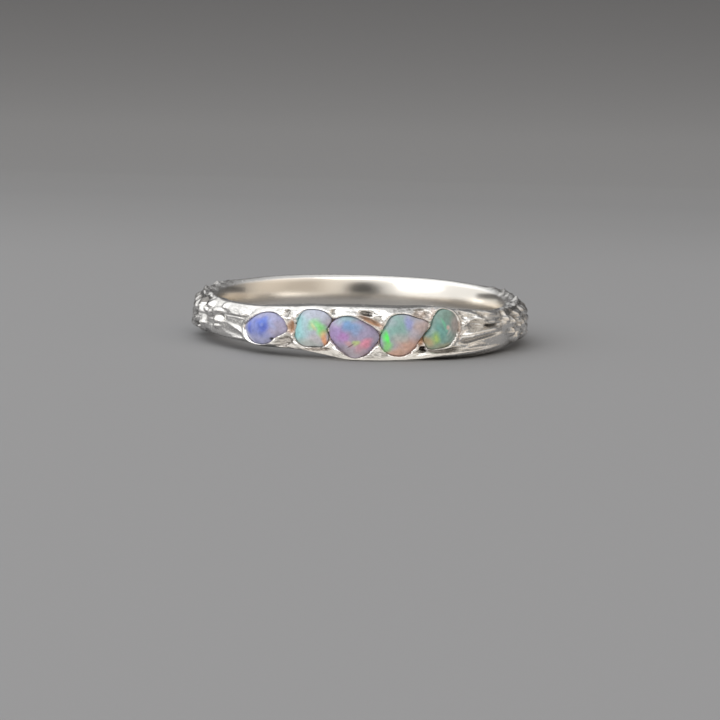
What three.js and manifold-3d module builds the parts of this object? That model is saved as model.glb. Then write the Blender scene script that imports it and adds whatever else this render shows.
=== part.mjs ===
// A stackable finger ring: one cast silver band with five opals sunk in a row across its front.
// Millimetres, +Z up. The ring lies on its side with its finger hole upright, the stones facing -Y.
import * as THREE from "three";
import { mergeVertices } from "three/addons/utils/BufferGeometryUtils.js";
import Module from "manifold-3d";

const wasm = await Module();
wasm.setup();

// Driving dimensions
const BORE = 17.3; // finger hole at its narrowest, a ring size 7
const BORE_FLARE = 0.2; // how much the hole's rounded wall falls back at its two edges
const BAND_HEIGHT = 3.1; // along the finger, at the tallest point of the front
const WALL = 1.7; // silver from the hole to the face at the front
const CROWN = 0.4; // how far the face rounds back at its upper and lower edges
const EDGE_DROP = 0.17; // how much lower the upper edge is at the hole than at the face
const STONE_ROW = 13.6; // length of the row of opals along the face
const RIM = 0.37; // silver left above and below the tallest opal
const FLOOR = 0.62; // silver under the opals
const DOME = 0.34; // how far an opal stands out of its seat
const SETTING_GAP = 0.06; // clearance round and under an opal
const LIP_RISE = 0.2; // the silver pushed up round an opal
const LIP_WIDTH = 0.34; // how far that lip reaches from the opal
const SEAT_WALL = 0.14; // the thinnest silver left between two seats, which run together past it
const SEAM_DEPTH = 0.45; // how far the silver between two opals lies below their lips
const SEAM_WIDTH = 0.8; // the gap between two opals at which that silver stands as high as the rest
const RELIEF = 0.3; // height of the largest nugget, and depth of the deepest pit

// How full the curves are: larger powers are flatter in the middle and steeper at the edges
const HOLE_POWER = 4;
const FACE_POWER = 3;
const FOOT_POWER = 6; // the face's lower half, which falls nearly straight to a tighter edge
const DOME_POWER = 2.6;
const EDGE_POWER = 8; // how the relief dies out at the face's upper and lower edges
const ROW_POWER = 0.9; // below 1, the rows of the face crowd towards its edges

// Mesh steps
const FRONT_COLUMNS = 76;
const SHOULDER_COLUMNS = 34;
const BACK_COLUMNS = 26;
const FACE_ROWS = 13;
const OUTLINE_STEPS = 30;
const HOLE_ROWS = [0, 0.2, 0.5, 0.8, 1];
const WELD = 1e-4;

const FACE_RADIUS = BORE / 2 + WALL;
const FLOOR_RADIUS = BORE / 2 + FLOOR;
const TALLEST_STONE = BAND_HEIGHT - 2 * RIM;
const ROW_HALF = STONE_ROW / 2;

// Stations run round the ring: 0 is the middle of the front, 1 and -1 the right and left end
// of the row of opals, and 2 and -2 the middle of the back.
const SHOULDER_END = 1.55;

function arcOf(station) {
  const beyond = Math.max(0, Math.abs(station) - 1);
  const half = Math.PI * FACE_RADIUS;
  const along = Math.min(1, Math.abs(station)) * ROW_HALF;
  return Math.sign(station) * (along + beyond * (half - ROW_HALF));
}

function place(arc, radius, z) {
  const turn = arc / FACE_RADIUS;
  return new THREE.Vector3(radius * Math.sin(turn), -radius * Math.cos(turn), z);
}

// The band's edges. top and foot are shares of BAND_HEIGHT, and wall is a share of WALL.
// The foot lies on the ground under the front's lowest lobe and all along the back.
const SECTIONS = [
  { at: -2.0, top: 0.96, foot: 0.0, wall: 0.78 },
  { at: -1.7, top: 0.95, foot: 0.0, wall: 0.78 },
  { at: -1.5, top: 0.9, foot: 0.03, wall: 0.84 },
  { at: -1.35, top: 0.86, foot: 0.12, wall: 0.9 },
  { at: -1.2, top: 0.86, foot: 0.18, wall: 0.93 },
  { at: -1.08, top: 0.87, foot: 0.18, wall: 0.93 },
  { at: -0.92, top: 0.9, foot: 0.13, wall: 0.96 },
  { at: -0.7, top: 0.94, foot: 0.14, wall: 1.0 },
  { at: -0.5, top: 0.97, foot: 0.13, wall: 1.0 },
  { at: -0.3, top: 0.98, foot: 0.08, wall: 1.0 },
  { at: -0.1, top: 1.0, foot: 0.01, wall: 1.02 },
  { at: 0.1, top: 1.0, foot: -0.01, wall: 1.03 },
  { at: 0.35, top: 0.99, foot: 0.01, wall: 1.02 },
  { at: 0.62, top: 0.985, foot: 0.03, wall: 1.0 },
  { at: 0.85, top: 0.93, foot: 0.01, wall: 0.98 },
  { at: 1.03, top: 0.89, foot: 0.0, wall: 0.94 },
  { at: 1.11, top: 0.81, foot: 0.04, wall: 0.92 },
  { at: 1.2, top: 0.8, foot: 0.1, wall: 0.92 },
  { at: 1.35, top: 0.84, foot: 0.1, wall: 0.9 },
  { at: 1.5, top: 0.9, foot: 0.03, wall: 0.84 },
  { at: 1.7, top: 0.95, foot: 0.0, wall: 0.78 },
  { at: 2.0, top: 0.96, foot: 0.0, wall: 0.78 },
];

// The opals, left to right. at is the station of a stone's centre and level its height as a share
// of BAND_HEIGHT. length is a share of STONE_ROW and height one of the tallest opal, both halved.
// reach goes anticlockwise from the right-hand end, every 30 degrees, as a share of those halves.
const STONES = [
  { name: "opal_left", at: -0.81, level: 0.48, length: 0.218, height: 0.79,
    reach: [0.95, 0.99, 1.06, 0.96, 0.84, 0.82, 0.98, 0.95, 1.0, 0.87, 0.69, 0.65],
    colour: 0x8389d6 },
  { name: "opal_centre_left", at: -0.37, level: 0.555, length: 0.158, height: 0.86,
    reach: [0.62, 1.05, 1.04, 0.98, 1.07, 0.96, 0.97, 1.14, 1.12, 0.96, 1.06, 0.88],
    colour: 0xa9c3cc },
  { name: "opal_centre", at: -0.045, level: 0.44, length: 0.211, height: 1.0,
    reach: [0.99, 0.86, 0.77, 0.89, 1.01, 1.05, 0.91, 0.78, 0.8, 1.0, 0.94, 0.88],
    colour: 0x9c8dc4 },
  { name: "opal_centre_right", at: 0.37, level: 0.47, length: 0.203, height: 0.98,
    reach: [0.76, 1.16, 0.95, 0.98, 1.04, 0.91, 0.95, 1.08, 1.05, 0.93, 0.74, 0.64],
    colour: 0xa3b0bd },
  { name: "opal_right", at: 0.675, level: 0.58, length: 0.176, height: 0.93,
    reach: [1.0, 1.05, 1.06, 0.88, 0.66, 0.48, 0.47, 0.92, 1.12, 0.98, 0.97, 0.97],
    colour: 0x6f9f94 },
];

// Nuggets and ridges (rise above 0), pits and hollows (below 0) of the cast face. level is a share
// of the band's own height there, along and across are half lengths as shares of BAND_HEIGHT,
// lean is in degrees, and rise is a share of RELIEF.
const FEATURES = [
  { at: -1.238, level: 0.88, along: 0.22, across: 0.17, lean: 0, rise: 0.9 },
  { at: -1.236, level: 0.26, along: 0.2, across: 0.2, lean: 10, rise: 0.8 },
  { at: -1.094, level: 0.9, along: 0.14, across: 0.12, lean: 0, rise: 0.7 },
  { at: -1.139, level: 0.66, along: 0.22, across: 0.13, lean: 20, rise: 0.8 },
  { at: -1.119, level: 0.42, along: 0.12, across: 0.22, lean: 0, rise: 0.7 },
  { at: -1.18, level: 0.72, along: 0.16, across: 0.12, lean: -30, rise: -0.7 },
  { at: -1.102, level: 0.57, along: 0.09, across: 0.18, lean: 20, rise: -0.7 },
  { at: -1.05, level: 0.82, along: 0.36, across: 0.2, lean: -4, rise: 0.4 },
  { at: -1.03, level: 0.42, along: 0.5, across: 0.09, lean: -22, rise: 0.5 },
  { at: -1.06, level: 0.24, along: 0.42, across: 0.15, lean: -8, rise: -0.4 },
  { at: -0.62, level: 0.85, along: 0.1, across: 0.12, lean: 15, rise: -0.8 },
  { at: -0.62, level: 0.14, along: 0.22, across: 0.11, lean: 15, rise: -0.5 },
  { at: -0.21, level: 0.84, along: 0.1, across: 0.1, lean: -20, rise: -0.7 },
  { at: 0.1, level: 0.8, along: 0.3, across: 0.1, lean: -22, rise: -0.9 },
  { at: 0.5, level: 0.86, along: 0.26, across: 0.09, lean: -8, rise: -0.5 },
  { at: 0.53, level: 0.22, along: 0.16, across: 0.09, lean: 10, rise: -0.8 },
  { at: 0.96, level: 0.78, along: 0.1, across: 0.13, lean: 0, rise: -0.6 },
  { at: 1.005, level: 0.64, along: 0.3, across: 0.14, lean: 14, rise: -0.9 },
  { at: 1.03, level: 0.86, along: 0.46, across: 0.1, lean: -26, rise: 0.6 },
  { at: 1.045, level: 0.52, along: 0.5, across: 0.1, lean: 12, rise: 0.6 },
  { at: 1.03, level: 0.34, along: 0.56, across: 0.1, lean: 10, rise: -0.8 },
  { at: 1.142, level: 0.88, along: 0.16, across: 0.13, lean: 0, rise: -0.7 },
  { at: 1.19, level: 0.86, along: 0.24, across: 0.18, lean: 0, rise: 0.9 },
  { at: 1.174, level: 0.5, along: 0.14, across: 0.17, lean: 0, rise: 0.7 },
];

// Past what was placed by eye, the shoulders carry nuggets in a staggered scatter that dies out.
const SCATTER = { perSide: 16, from: 1.27, to: 1.68, stagger: 0.382, size: 0.19, rise: 0.8 };

function scatteredNuggets() {
  const nuggets = [];
  for (const side of [-1, 1]) {
    for (let i = 0; i < SCATTER.perSide; i++) {
      const share = i / SCATTER.perSide;
      nuggets.push({
        at: side * (SCATTER.from + share * (SCATTER.to - SCATTER.from)),
        level: 0.12 + 0.76 * (((i + (side > 0 ? 0.5 : 0)) * SCATTER.stagger) % 1),
        along: SCATTER.size * (i % 3 === 0 ? 1.3 : 1),
        across: SCATTER.size * (i % 2 === 0 ? 0.8 : 1),
        lean: 47 * i,
        rise: SCATTER.rise * (1 - share),
      });
    }
  }
  return nuggets;
}

const RELIEFS = [...FEATURES, ...scatteredNuggets()];

// A column of the SECTIONS table at any station, smoothly through its rows.
function sectionAt(station, column) {
  const last = SECTIONS.length - 2;
  let i = SECTIONS.findIndex((row) => row.at > station) - 1;
  if (i < 0) i = last;
  const [b, c] = [SECTIONS[i], SECTIONS[i + 1]];
  const a = SECTIONS[Math.max(0, i - 1)];
  const d = SECTIONS[Math.min(last + 1, i + 2)];
  const t = (station - b.at) / (c.at - b.at);
  const slope = (from, to) => ((to[column] - from[column]) / (to.at - from.at)) * (c.at - b.at);
  const [into, out] = [i === 0 ? 0 : slope(a, c), i === last ? 0 : slope(b, d)];
  const [t2, t3] = [t * t, t * t * t];
  return (2 * t3 - 3 * t2 + 1) * b[column] + (t3 - 2 * t2 + t) * into +
    (3 * t2 - 2 * t3) * c[column] + (t3 - t2) * out;
}

// The closed outline of an opal on the unrolled face: x is the arc from the front, y is the height.
function outlineOf(stone) {
  const corners = stone.reach.map((reach, i) => {
    const turn = (i / stone.reach.length) * 2 * Math.PI;
    return new THREE.Vector3(
      arcOf(stone.at) + (reach * Math.cos(turn) * stone.length * STONE_ROW) / 2,
      stone.level * BAND_HEIGHT + (reach * Math.sin(turn) * stone.height * TALLEST_STONE) / 2,
      0,
    );
  });
  return new THREE.CatmullRomCurve3(corners, true, "centripetal").getPoints(OUTLINE_STEPS).slice(1);
}

function centreOf(outline) {
  const sum = outline.reduce((total, p) => total.add(p), new THREE.Vector3());
  return sum.divideScalar(outline.length);
}

function grown(outline, by) {
  return outline.map((p, i) => {
    const before = outline[(i + outline.length - 1) % outline.length];
    const after = outline[(i + 1) % outline.length];
    const along = after.clone().sub(before).normalize();
    return new THREE.Vector3(p.x + along.y * by, p.y - along.x * by, 0);
  });
}

const OUTLINES = STONES.map(outlineOf);

function distanceTo(outline, arc, z) {
  const point = new THREE.Vector3(arc, z, 0);
  const nearest = new THREE.Vector3();
  const sides = outline.map((start, i) => new THREE.Line3(start, outline[(i + 1) % outline.length]));
  return Math.min(...sides.map((side) => {
    side.closestPointToPoint(point, true, nearest);
    return nearest.distanceTo(point);
  }));
}

// How far the cast face stands out of its plain form: the opals' lips, the sunk seams between
// two opals, and the table of features.
function reliefAt(arc, z, foot, height) {
  const [near, next] = OUTLINES.map((outline) => distanceTo(outline, arc, z)).sort((a, b) => a - b);
  const lip = Math.max(0, 1 - (near / LIP_WIDTH) ** 2);
  const seam = Math.max(0, 1 - ((near + next) / SEAM_WIDTH) ** 2);
  let rise = LIP_RISE * lip - SEAM_DEPTH * seam;
  for (const feature of RELIEFS) {
    const lean = THREE.MathUtils.degToRad(feature.lean);
    const dx = arc - arcOf(feature.at);
    const dz = z - (foot + feature.level * height);
    const along = (dx * Math.cos(lean) + dz * Math.sin(lean)) / (feature.along * BAND_HEIGHT);
    const across = (dz * Math.cos(lean) - dx * Math.sin(lean)) / (feature.across * BAND_HEIGHT);
    const apart = along * along + across * across;
    if (apart < 1) rise += feature.rise * RELIEF * (1 - apart) ** 2;
  }
  return rise;
}

// One section of the band, from the hole's wall up, out over the top, down the face and back in.
function sectionLoop(station) {
  const arc = arcOf(station);
  const foot = Math.max(0, sectionAt(station, "foot")) * BAND_HEIGHT;
  const height = sectionAt(station, "top") * BAND_HEIGHT - foot;
  const face = BORE / 2 + sectionAt(station, "wall") * WALL;
  const loop = HOLE_ROWS.map((share) => {
    const flare = BORE_FLARE * (2 * share - 1) ** HOLE_POWER;
    return place(arc, BORE / 2 + flare, foot + share * (height - EDGE_DROP));
  });
  for (let row = 0; row < FACE_ROWS; row++) {
    const share = 1 - row / (FACE_ROWS - 1);
    const bend = 2 * share - 1;
    const z = foot + height * (0.5 + 0.5 * Math.sign(bend) * Math.abs(bend) ** ROW_POWER);
    const radius = face - CROWN * Math.abs(bend) ** (bend > 0 ? FACE_POWER : FOOT_POWER);
    const rise = reliefAt(arc, z, foot, height) * (1 - bend ** EDGE_POWER);
    loop.push(place(arc, radius + rise, z));
  }
  return loop;
}

// A closed skin over loops of points, each loop anticlockwise as seen from the last one.
// The ends close on start and tip, or the last loop on the first one.
function skin(loops, start, tip) {
  const count = loops[0].length;
  const points = loops.flat();
  const faces = [];
  const bands = tip ? loops.length - 1 : loops.length;
  for (let k = 0; k < bands; k++) {
    for (let i = 0; i < count; i++) {
      const [near, far] = [k * count, ((k + 1) % loops.length) * count];
      const next = (i + 1) % count;
      faces.push(near + i, near + next, far + next, near + i, far + next, far + i);
    }
  }
  if (tip) {
    const last = (loops.length - 1) * count;
    points.push(start, tip);
    for (let i = 0; i < count; i++) {
      const next = (i + 1) % count;
      faces.push(points.length - 2, next, i, points.length - 1, last + i, last + next);
    }
  }
  const geometry = new THREE.BufferGeometry().setFromPoints(points);
  geometry.setIndex(faces);
  return geometry;
}

function toSolid(geometry) {
  const merged = mergeVertices(geometry, WELD);
  const vertProperties = new Float32Array(merged.attributes.position.array);
  const triVerts = new Uint32Array(merged.index.array);
  return new wasm.Manifold(new wasm.Mesh({ numProp: 3, vertProperties, triVerts }));
}

function toGeometry(solid) {
  const { vertProperties, triVerts } = solid.getMesh();
  const geometry = new THREE.BufferGeometry();
  geometry.setAttribute("position", new THREE.BufferAttribute(vertProperties, 3));
  geometry.setIndex(new THREE.BufferAttribute(triVerts, 1));
  return geometry;
}

// A straight-walled block on the unrolled face, from one radius out to another.
function block(outline, inner, outer) {
  const at = (radius) => outline.map((p) => place(p.x, radius, p.y));
  const centre = centreOf(outline);
  return skin([at(inner), at(outer)], place(centre.x, inner, centre.y), place(centre.x, outer, centre.y));
}

function bandStations() {
  const stations = [];
  const run = (from, to, count) => {
    for (let i = 0; i < count; i++) stations.push(from + ((to - from) * i) / count);
  };
  run(-2, -SHOULDER_END, BACK_COLUMNS / 2);
  run(-SHOULDER_END, -1.08, SHOULDER_COLUMNS);
  run(-1.08, 1.08, FRONT_COLUMNS);
  run(1.08, SHOULDER_END, SHOULDER_COLUMNS);
  run(SHOULDER_END, 2, BACK_COLUMNS / 2);
  return stations;
}

function bandGeometry() {
  const clear = FACE_RADIUS + 2 * (LIP_RISE + RELIEF + DOME);
  const cutter = (outline, by) => toSolid(block(grown(outline, by), FLOOR_RADIUS, clear));
  let silver = toSolid(skin(bandStations().map(sectionLoop)));
  OUTLINES.forEach((outline, i) => {
    silver = silver.subtract(cutter(outline, SETTING_GAP));
    if (i === 0) return;
    const reach = SETTING_GAP + SEAT_WALL / 2;
    silver = silver.subtract(cutter(outline, reach).intersect(cutter(OUTLINES[i - 1], reach)));
  });
  return toGeometry(silver);
}

// An opal: a flat back with a small bevel, walls up to the face, and a low irregular dome.
const OPAL_BEVEL = 0.15;
const DOME_RINGS = [0.94, 0.82, 0.64, 0.42, 0.2];

function opalGeometry(outline) {
  const centre = centreOf(outline);
  const back = FLOOR_RADIUS + SETTING_GAP;
  const ring = (share, radius) => outline.map((p) => {
    const q = centre.clone().lerp(p, share);
    return place(q.x, radius, q.y);
  });
  const inset = 1 - OPAL_BEVEL / TALLEST_STONE;
  const loops = [ring(inset, back), ring(1, back + OPAL_BEVEL), ring(1, FACE_RADIUS)];
  for (const share of DOME_RINGS) loops.push(ring(share, FACE_RADIUS + DOME * (1 - share ** DOME_POWER)));
  const tip = place(centre.x, FACE_RADIUS + DOME, centre.y);
  return skin(loops, place(centre.x, back, centre.y), tip);
}

const SILVER = new THREE.MeshStandardMaterial({ color: 0xd5d2cb, roughness: 0.22, metalness: 1 });

function opalMaterial(colour) {
  return new THREE.MeshStandardMaterial({ color: colour, roughness: 0.18, metalness: 0 });
}

function meshOf(name, geometry, material) {
  geometry.computeVertexNormals();
  const mesh = new THREE.Mesh(geometry, material);
  mesh.name = name;
  return mesh;
}

const ring = new THREE.Group();
ring.add(meshOf("band", bandGeometry(), SILVER));
STONES.forEach((stone, i) => {
  ring.add(meshOf(stone.name, opalGeometry(OUTLINES[i]), opalMaterial(stone.colour)));
});

export default ring;
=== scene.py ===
import math

import bpy
import numpy as np
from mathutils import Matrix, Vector, noise


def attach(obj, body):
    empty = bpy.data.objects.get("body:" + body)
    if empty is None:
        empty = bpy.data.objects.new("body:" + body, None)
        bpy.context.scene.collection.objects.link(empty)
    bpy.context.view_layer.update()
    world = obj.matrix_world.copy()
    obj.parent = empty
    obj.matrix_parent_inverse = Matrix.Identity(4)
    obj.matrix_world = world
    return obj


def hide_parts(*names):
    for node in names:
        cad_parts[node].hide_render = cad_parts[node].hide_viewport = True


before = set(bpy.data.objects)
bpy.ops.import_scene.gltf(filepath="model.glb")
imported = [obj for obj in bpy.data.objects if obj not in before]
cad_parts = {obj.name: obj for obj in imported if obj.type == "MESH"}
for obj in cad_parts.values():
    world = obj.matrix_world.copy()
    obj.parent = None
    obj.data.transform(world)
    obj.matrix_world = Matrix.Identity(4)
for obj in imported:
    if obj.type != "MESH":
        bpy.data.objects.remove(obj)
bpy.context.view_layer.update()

# Camera
# It looks at the opals from a little above the ground, with the slight lean and the framing that
# the ring was photographed with.
MM = 0.001
FRAME_PIXELS = 720
FOCAL_PIXELS = 1358
SENSOR_WIDTH = 36
CAMERA_DISTANCE = 85 * MM
CAMERA_RISE = math.radians(8.7)
CAMERA_LEAN = math.radians(1.5)
CAMERA_AIM = Vector((0.075, 0, -1.5)) * MM

bpy.ops.object.camera_add()
camera = bpy.context.object
camera.data.sensor_width = SENSOR_WIDTH
camera.data.lens = SENSOR_WIDTH * FOCAL_PIXELS / FRAME_PIXELS
camera.data.clip_start = MM
camera.location = CAMERA_AIM + CAMERA_DISTANCE * Vector((0, -math.cos(CAMERA_RISE), math.sin(CAMERA_RISE)))
camera.rotation_euler = (math.pi / 2 - CAMERA_RISE, 0, 0)
camera.rotation_euler.rotate_axis("Z", CAMERA_LEAN)
bpy.context.scene.camera = camera

# Floor
# A grey studio sheet: flat under the ring and far in front of it, and swept up behind it. The paper's
# grey is graded with painted light and shade: lightest where the sweep turns away from the light, and
# dark above that.
SHEET_SIZE = 3000 * MM
SWEEP_START = 450 * MM
SWEEP_RADIUS = 260 * MM
SWEEP_STEPS = 16
BACK_HEIGHT = 60 * MM
SHARPEST_FOLD = math.radians(40)
PAPER_ROUGHNESS = 0.8
PAPER_GLOSS = 0.2
PAPER_END = 650 * MM
# Painted light and shade: these greys lighten the paper where the sweep gets less light and darken it
# above.
PAPER_GREYS_WITH_PAINTED_SHADE = [
    # distance behind the ring, colour
    (60 * MM, (0.253, 0.254, 0.260, 1)),
    (140 * MM, (0.239, 0.240, 0.245, 1)),
    (250 * MM, (0.236, 0.237, 0.242, 1)),
    (450 * MM, (0.262, 0.262, 0.267, 1)),
    (550 * MM, (0.240, 0.240, 0.244, 1)),
    (PAPER_END, (0.158, 0.158, 0.161, 1)),
]


def paper_sheet():
    bpy.ops.object.select_all(action="DESELECT")
    bpy.ops.mesh.primitive_plane_add(size=SHEET_SIZE, location=(0, SWEEP_START - SHEET_SIZE / 2, 0))
    sheet = bpy.context.object
    sheet.name = "floor"
    for corner in sheet.data.vertices:
        corner.select = corner.co.y > 0
    for side in sheet.data.edges:
        side.select = all(sheet.data.vertices[end].select for end in side.vertices)
    sheet.data.polygons[0].select = False
    bpy.ops.object.mode_set(mode="EDIT")
    bpy.ops.mesh.select_mode(type="EDGE")
    stride = SWEEP_RADIUS * math.pi / 2 / SWEEP_STEPS
    for step in range(SWEEP_STEPS):
        turn = (step + 0.5) / SWEEP_STEPS * math.pi / 2
        move = (0, stride * math.cos(turn), stride * math.sin(turn))
        bpy.ops.mesh.extrude_edges_move(TRANSFORM_OT_translate={"value": move})
    bpy.ops.mesh.extrude_edges_move(TRANSFORM_OT_translate={"value": (0, 0, BACK_HEIGHT)})
    bpy.ops.mesh.select_all(action="SELECT")
    bpy.ops.object.mode_set(mode="OBJECT")
    bpy.ops.object.transform_apply(location=True)
    bpy.ops.object.shade_smooth_by_angle(angle=SHARPEST_FOLD)
    return sheet


def new_material(name):
    material = bpy.data.materials.new(name)
    material.use_nodes = True
    return material, material.node_tree, material.node_tree.nodes["Principled BSDF"]


def object_place(tree):
    return tree.nodes.new("ShaderNodeTexCoord").outputs["Object"]


def feed(tree, socket, value):
    """Link a socket to another one, or set it to a number, vector or colour."""
    if isinstance(value, bpy.types.NodeSocket):
        tree.links.new(value, socket)
    else:
        socket.default_value = value


def graded(tree, value, source, target=(0, 1), smooth=False):
    """A value taken from one range to another, and held at both ends."""
    grade = tree.nodes.new("ShaderNodeMapRange")
    grade.interpolation_type = "SMOOTHSTEP" if smooth else "LINEAR"
    for label, number in zip(("From Min", "From Max", "To Min", "To Max"), (*source, *target)):
        grade.inputs[label].default_value = number
    feed(tree, grade.inputs["Value"], value)
    return grade.outputs[0]


def paper_material():
    """Matt grey paper, with painted light and shade graded by its distance behind the ring."""
    material, tree, surface = new_material("floor_grey_with_painted_shade")
    place = tree.nodes.new("ShaderNodeSeparateXYZ")
    feed(tree, place.inputs[0], object_place(tree))
    # Painted light and shade: the ramp changes the paper's grey with distance behind the ring.
    ramp = tree.nodes.new("ShaderNodeValToRGB")
    painted_shade_greys = ramp.color_ramp.elements
    painted_shade_greys.remove(painted_shade_greys[1])
    painted_shade_greys[0].position = PAPER_GREYS_WITH_PAINTED_SHADE[0][0] / PAPER_END
    painted_shade_greys[0].color = PAPER_GREYS_WITH_PAINTED_SHADE[0][1]
    for distance, painted_shade_grey in PAPER_GREYS_WITH_PAINTED_SHADE[1:]:
        painted_shade_greys.new(distance / PAPER_END).color = painted_shade_grey
    feed(tree, ramp.inputs["Fac"], graded(tree, place.outputs["Y"], (0, PAPER_END)))
    feed(tree, surface.inputs["Base Color"], ramp.outputs["Color"])
    surface.inputs["Roughness"].default_value = PAPER_ROUGHNESS
    surface.inputs["Specular IOR Level"].default_value = PAPER_GLOSS
    return material


floor = paper_sheet()
floor.data.materials.append(paper_material())

# Light
# A soft box overhead and one at the front left, in a dim tent that glows from above and from the
# left and is warm at the right, with a dark slot for the camera. A white card lies on the ground
# before the ring.
SOFT_BOXES = [
    # across, deep, distance, azimuth, rise, brightness
    (520 * MM, 280 * MM, 420 * MM, -14, 64, 1.06),
    (260 * MM, 190 * MM, 380 * MM, -54, 27, 1.8),
]
TENT_BASE = (0.15, 0.15, 0.152, 1)
TENT_GLOWS = [
    # azimuth, rise, cosine where it starts, cosine where it is full, colour
    (0, 90, 0.3, 0.9, (0.50, 0.50, 0.50, 1)),
    (-95, 20, 0.1, 0.8, (0.85, 0.85, 0.84, 1)),
    (-10, 14, 0.6, 0.95, (0.40, 0.39, 0.37, 1)),
    (58, 14, 0.45, 0.9, (0.42, 0.36, 0.29, 1)),
    (98, 30, 0.75, 0.98, (0.2, 0.18, 0.155, 1)),
]
CAMERA_SLOT = (-2, 9, 0.94, 0.99)
SLOT_COLOUR = (0.05, 0.05, 0.05, 1)
CARD_SIZE = (64 * MM, 38 * MM)
CARD_PLACE = (0, -28.2 * MM, 0.03 * MM)
CARD_BRIGHTNESS = 0.67
CARD_COLOUR = (1.0, 0.95, 0.87)


def direction(azimuth, rise):
    """From the ring towards the light: azimuth 0 is the camera's side, and 90 is the right."""
    turn = math.radians(azimuth)
    climb = math.radians(rise)
    return Vector((math.sin(turn) * math.cos(climb), -math.cos(turn) * math.cos(climb), math.sin(climb)))


def light_panel(across, deep, brightness):
    """An evenly glowing rectangle. brightness is its radiance, whatever its size."""
    bpy.ops.object.light_add(type="AREA")
    panel = bpy.context.object
    panel.data.shape = "RECTANGLE"
    panel.data.size = across
    panel.data.size_y = deep
    panel.data.energy = brightness * math.pi * across * deep
    return panel


for across, deep, distance, azimuth, rise, brightness in SOFT_BOXES:
    soft_box = light_panel(across, deep, brightness)
    soft_box.location = distance * direction(azimuth, rise)
    soft_box.rotation_euler = direction(azimuth, rise).to_track_quat("Z", "Y").to_euler()

card = light_panel(*CARD_SIZE, CARD_BRIGHTNESS)
card.name = "white_card"
card.location = CARD_PLACE
card.rotation_euler = (math.pi, 0, 0)
card.data.color = CARD_COLOUR
card.visible_camera = False


def vector_math(tree, operation, first, second=None):
    """One step of vector arithmetic: the second value is a vector, or a factor to scale by."""
    step = tree.nodes.new("ShaderNodeVectorMath")
    step.operation = operation
    feed(tree, step.inputs[0], first)
    if second is not None:
        feed(tree, step.inputs["Scale" if operation == "SCALE" else 1], second)
    return step.outputs["Value" if operation in ("DOT_PRODUCT", "LENGTH") else "Vector"]


def blended(tree, factor, low, high, kind="RGBA", blend="MIX"):
    """A colour, or a number where kind is FLOAT, between two others."""
    mix = tree.nodes.new("ShaderNodeMix")
    mix.data_type = kind
    mix.blend_type = blend
    feed(tree, mix.inputs["Factor"], factor)
    feed(tree, mix.inputs["A"], low)
    feed(tree, mix.inputs["B"], high)
    return mix.outputs["Result"]


def towards(tree, gaze, azimuth, rise, start, full):
    """0 away from a direction and 1 close to it, fading between two cosines of the angle to it."""
    along = vector_math(tree, "DOT_PRODUCT", gaze, direction(azimuth, rise))
    return graded(tree, along, (start, full), smooth=True)


def light_tent():
    tent = bpy.data.worlds.new("tent")
    tent.use_nodes = True
    tree = tent.node_tree
    gaze = tree.nodes.new("ShaderNodeTexCoord").outputs["Generated"]
    glow = TENT_BASE
    for *where, colour in TENT_GLOWS:
        glow = blended(tree, towards(tree, gaze, *where), glow, colour, blend="ADD")
    glow = blended(tree, towards(tree, gaze, *CAMERA_SLOT), glow, SLOT_COLOUR)
    feed(tree, tree.nodes["Background"].inputs["Color"], glow)
    return tent


bpy.context.scene.world = light_tent()
bpy.context.scene.view_settings.view_transform = "Standard"

# Opals
# Five irregular opals, cut to no set shape and polished to low domes. Their colours lie in soft
# clouds and flashes under a glassy surface. Each sits in a seat in the band's face.
# Places on the face are measured along a roll of this radius, where the opals' domes start.
FACE_RADIUS = 10.35 * MM
# An opal's outline is read where its solid's wall ends, degree by degree, and blurred a little.
WALL_TOLERANCE = 0.02 * MM
OUTLINE_ANGLES = np.radians(np.arange(360))
OUTLINE_BLUR = 3
LINE_STEP = 4
# A gap to an opal counts up to FAR_GAP. Only columns that may lie closer are measured.
FAR_GAP = 1.2 * MM
FAR_SHARE = 1.2
OPAL_SEGMENTS = 120
OPAL_RINGS = 80
# Shares of the way from pole to pole of the ball: the dome reaches to DOME_END and the wall to
# BACK_START. The bevel reaches BEVEL to either side of that, and starts at WALL_DEPTH, a share of
# the opal's depth.
DOME_END = 0.64
BACK_START = 0.82
BEVEL = 0.02
WALL_DEPTH = 0.9
# How full the dome is.
DOME_POWER = 2.6
# The dome isn't even: how near its edge the waves in it die out, and size and height of each layer.
WAVE_POWER = 4
SURFACE_WAVES = [(1.1 * MM, 0.03 * MM), (0.35 * MM, 0.008 * MM)]


def read_points(mesh):
    flat = np.empty(len(mesh.vertices) * 3, np.float32)
    mesh.vertices.foreach_get("co", flat)
    return flat.reshape(-1, 3).astype(float)


def write_points(mesh, points):
    mesh.vertices.foreach_set("co", points.astype(np.float32).ravel())
    mesh.update()


def unrolled(points):
    """The arc along the face from the middle of the front, the height, and the distance to the axis."""
    x, y, z = points.T
    return np.arctan2(x, -y) * FACE_RADIUS, z, np.hypot(x, y)


def rolled(arc, height, radius):
    turn = arc / FACE_RADIUS
    return np.stack([radius * np.sin(turn), -radius * np.cos(turn), height], axis=-1)


def softened(values, reach):
    """A closed row of values, blurred over a number of places."""
    places = np.arange(-3 * reach, 3 * reach + 1)
    weights = np.exp(-0.5 * (places / reach) ** 2)
    return sum(w * np.roll(values, p, axis=0) for w, p in zip(weights, places)) / weights.sum()


def line_gap(arc, height, line):
    """How far points of the face lie from a line on it, and how far along the line they are."""
    spots = np.stack([arc, height], axis=-1)[..., None, :]
    start = line[:-1]
    step = line[1:] - start
    share = np.clip(((spots - start) * step).sum(-1) / (step * step).sum(-1), 0, 1)
    far = np.linalg.norm(spots - start - share[..., None] * step, axis=-1)
    nearest = far.argmin(-1)[..., None]
    along = (nearest + np.take_along_axis(share, nearest, -1))[..., 0] / len(step)
    return far.min(-1), along


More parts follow.
